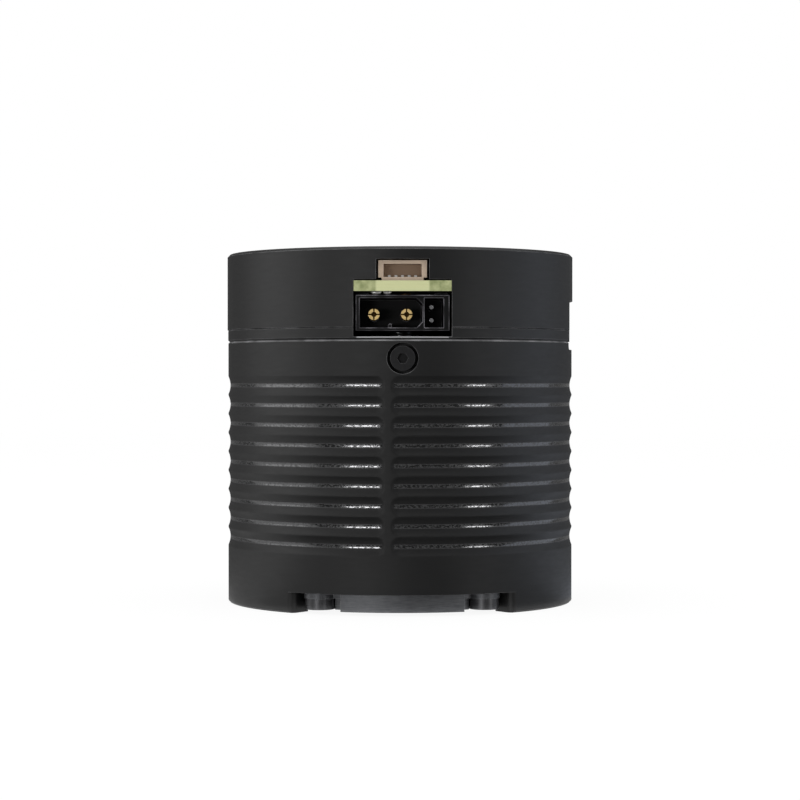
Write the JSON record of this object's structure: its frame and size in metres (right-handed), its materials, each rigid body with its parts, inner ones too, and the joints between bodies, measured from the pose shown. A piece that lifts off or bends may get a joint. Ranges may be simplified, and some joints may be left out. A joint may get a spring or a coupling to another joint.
{
  "type": "robot joint actuator",
  "caption": "Round robot joint actuator: ribbed motor housing with a planetary gearbox, an output flange below, and plug sockets under a rear electronics cover.",
  "frame": {"origin": "on the shaft axis, in the plane of the output face and the housing's front rim", "axes": "+Z along the shaft axis from the output face to the rear cover, -Y towards the front connectors, +X towards the side connector"},
  "size_m": [0.0562, 0.0562, 0.0562],
  "materials": {
    "anodised_body": "satin black anodised, finely turned",
    "anodised_cover": "satin black anodised, bead blasted",
    "machined_ring": "grey anodised, machined",
    "machined_flange": "grey anodised, faced",
    "ring_screw_steel": "black oxide, worn",
    "black_screw": "black oxide",
    "seal_rubber": "matte",
    "bearing_steel": "ground",
    "gear_steel": "hobbed",
    "carrier_steel": "turned",
    "bush_bronze": "sintered",
    "inner_aluminium": "turned",
    "lamination_steel": "stacked laminations",
    "insulator": "matte",
    "copper": "enamelled wire",
    "magnet": "nickel plated",
    "standoff_brass": "turned",
    "board": "cut laminate edge, solder mask on the faces",
    "chip": "moulded",
    "capacitor": "sleeved can",
    "connector_black": "moulded nylon",
    "gold_contact": "gold plated",
    "tinned_contact": "tinned",
    "header_tan": "moulded"
  },
  "bodies": {
    "housing": {"motor_housing": "anodised_body", "rear_cover": "anodised_cover", "front_ring": "machined_ring", "front_ring_screws": "ring_screw_steel", "output_seal": "seal_rubber", "output_bearing_outer_ring": "bearing_steel", "ring_gear": "gear_steel", "ring_gear_pins": "bearing_steel", "gearbox_plate": "inner_aluminium", "rotor_front_bearing_outer": "bearing_steel", "rotor_rear_bearing_outer": "bearing_steel", "stator_core": "lamination_steel", "stator_insulators": "insulator", "stator_windings": "copper", "phase_leads": "copper", "encoder_sensor": "chip", "rear_bearing_plate": "inner_aluminium", "bearing_shim": "bearing_steel", "radial_screws": "black_screw", "board_standoffs": "standoff_brass", "driver_board": "board", "board_chips": "chip", "board_capacitors": "capacitor", "front_power_connector": "connector_black", "side_power_connector": "connector_black", "power_contacts": "gold_contact", "signal_contacts": "tinned_contact", "signal_header": "header_tan", "header_contacts": "tinned_contact", "rear_cover_screws": "black_screw"},
    "output": {"output_flange": "machined_flange", "output_bearing_inner_ring": "bearing_steel", "output_carrier_plate": "carrier_steel", "output_planet_pins": "bearing_steel", "output_carrier_screws": "black_screw"},
    "rollers": {"output_bearing_rollers": "bearing_steel"},
    "planet2_a": {"stage2_planet_a": "gear_steel", "stage2_bush_a": "bush_bronze"},
    "planet2_b": {"stage2_planet_b": "gear_steel", "stage2_bush_b": "bush_bronze"},
    "planet2_c": {"stage2_planet_c": "gear_steel", "stage2_bush_c": "bush_bronze"},
    "carrier1": {"stage1_carrier": "carrier_steel", "stage2_sun_gear": "gear_steel", "stage1_planet_pins": "bearing_steel"},
    "planet1_a": {"stage1_planet_a": "gear_steel"},
    "planet1_b": {"stage1_planet_b": "gear_steel"},
    "planet1_c": {"stage1_planet_c": "gear_steel"},
    "rotor": {"rotor_shaft": "carrier_steel", "rotor_core": "lamination_steel", "rotor_magnets": "magnet", "stage1_sun_gear": "gear_steel", "magnet_holder": "inner_aluminium", "encoder_magnet": "magnet", "rotor_front_bearing_inner": "bearing_steel", "rotor_rear_bearing_inner": "bearing_steel"},
    "front_balls": {"rotor_front_bearing_balls": "bearing_steel"},
    "rear_balls": {"rotor_rear_bearing_balls": "bearing_steel"}
  },
  "joints": [
    {"name": "output_spin", "type": "hinge", "parent": "housing", "child": "output", "pos_m": [0, 0, 0], "axis": [0, 0, 1], "continuous": true},
    {"name": "roller_spin", "type": "hinge", "parent": "housing", "child": "rollers", "pos_m": [0, 0, 0.0057], "axis": [0, 0, 1], "continuous": true},
    {"name": "planet2_a_spin", "type": "hinge", "parent": "output", "child": "planet2_a", "pos_m": [0.0126, 0, 0.0116], "axis": [0, 0, 1], "continuous": true},
    {"name": "planet2_b_spin", "type": "hinge", "parent": "output", "child": "planet2_b", "pos_m": [-0.0063, 0.01091, 0.0116], "axis": [0, 0, 1], "continuous": true},
    {"name": "planet2_c_spin", "type": "hinge", "parent": "output", "child": "planet2_c", "pos_m": [-0.0063, -0.01091, 0.0116], "axis": [0, 0, 1], "continuous": true},
    {"name": "carrier1_spin", "type": "hinge", "parent": "housing", "child": "carrier1", "pos_m": [0, 0, 0.0172], "axis": [0, 0, 1], "continuous": true},
    {"name": "planet1_a_spin", "type": "hinge", "parent": "carrier1", "child": "planet1_a", "pos_m": [0.0126, 0, 0.0202], "axis": [0, 0, 1], "continuous": true},
    {"name": "planet1_b_spin", "type": "hinge", "parent": "carrier1", "child": "planet1_b", "pos_m": [-0.0063, 0.01091, 0.0202], "axis": [0, 0, 1], "continuous": true},
    {"name": "planet1_c_spin", "type": "hinge", "parent": "carrier1", "child": "planet1_c", "pos_m": [-0.0063, -0.01091, 0.0202], "axis": [0, 0, 1], "continuous": true},
    {"name": "rotor_spin", "type": "hinge", "parent": "housing", "child": "rotor", "pos_m": [0, 0, 0.0311], "axis": [0, 0, 1], "continuous": true},
    {"name": "front_balls_spin", "type": "hinge", "parent": "housing", "child": "front_balls", "pos_m": [0, 0, 0.0249], "axis": [0, 0, 1], "continuous": true},
    {"name": "rear_balls_spin", "type": "hinge", "parent": "housing", "child": "rear_balls", "pos_m": [0, 0, 0.0379], "axis": [0, 0, 1], "continuous": true}
  ],
  "couplings": [
    {"joint": "roller_spin", "follows": "output_spin", "ratio": 0.4803},
    {"joint": "planet2_a_spin", "follows": "output_spin", "ratio": -2.5},
    {"joint": "planet2_b_spin", "follows": "output_spin", "ratio": -2.5},
    {"joint": "planet2_c_spin", "follows": "output_spin", "ratio": -2.5},
    {"joint": "carrier1_spin", "follows": "output_spin", "ratio": 6},
    {"joint": "planet1_a_spin", "follows": "output_spin", "ratio": -15},
    {"joint": "planet1_b_spin", "follows": "output_spin", "ratio": -15},
    {"joint": "planet1_c_spin", "follows": "output_spin", "ratio": -15},
    {"joint": "rotor_spin", "follows": "output_spin", "ratio": 36},
    {"joint": "front_balls_spin", "follows": "output_spin", "ratio": 14.8},
    {"joint": "rear_balls_spin", "follows": "output_spin", "ratio": 14.8}
  ]
}
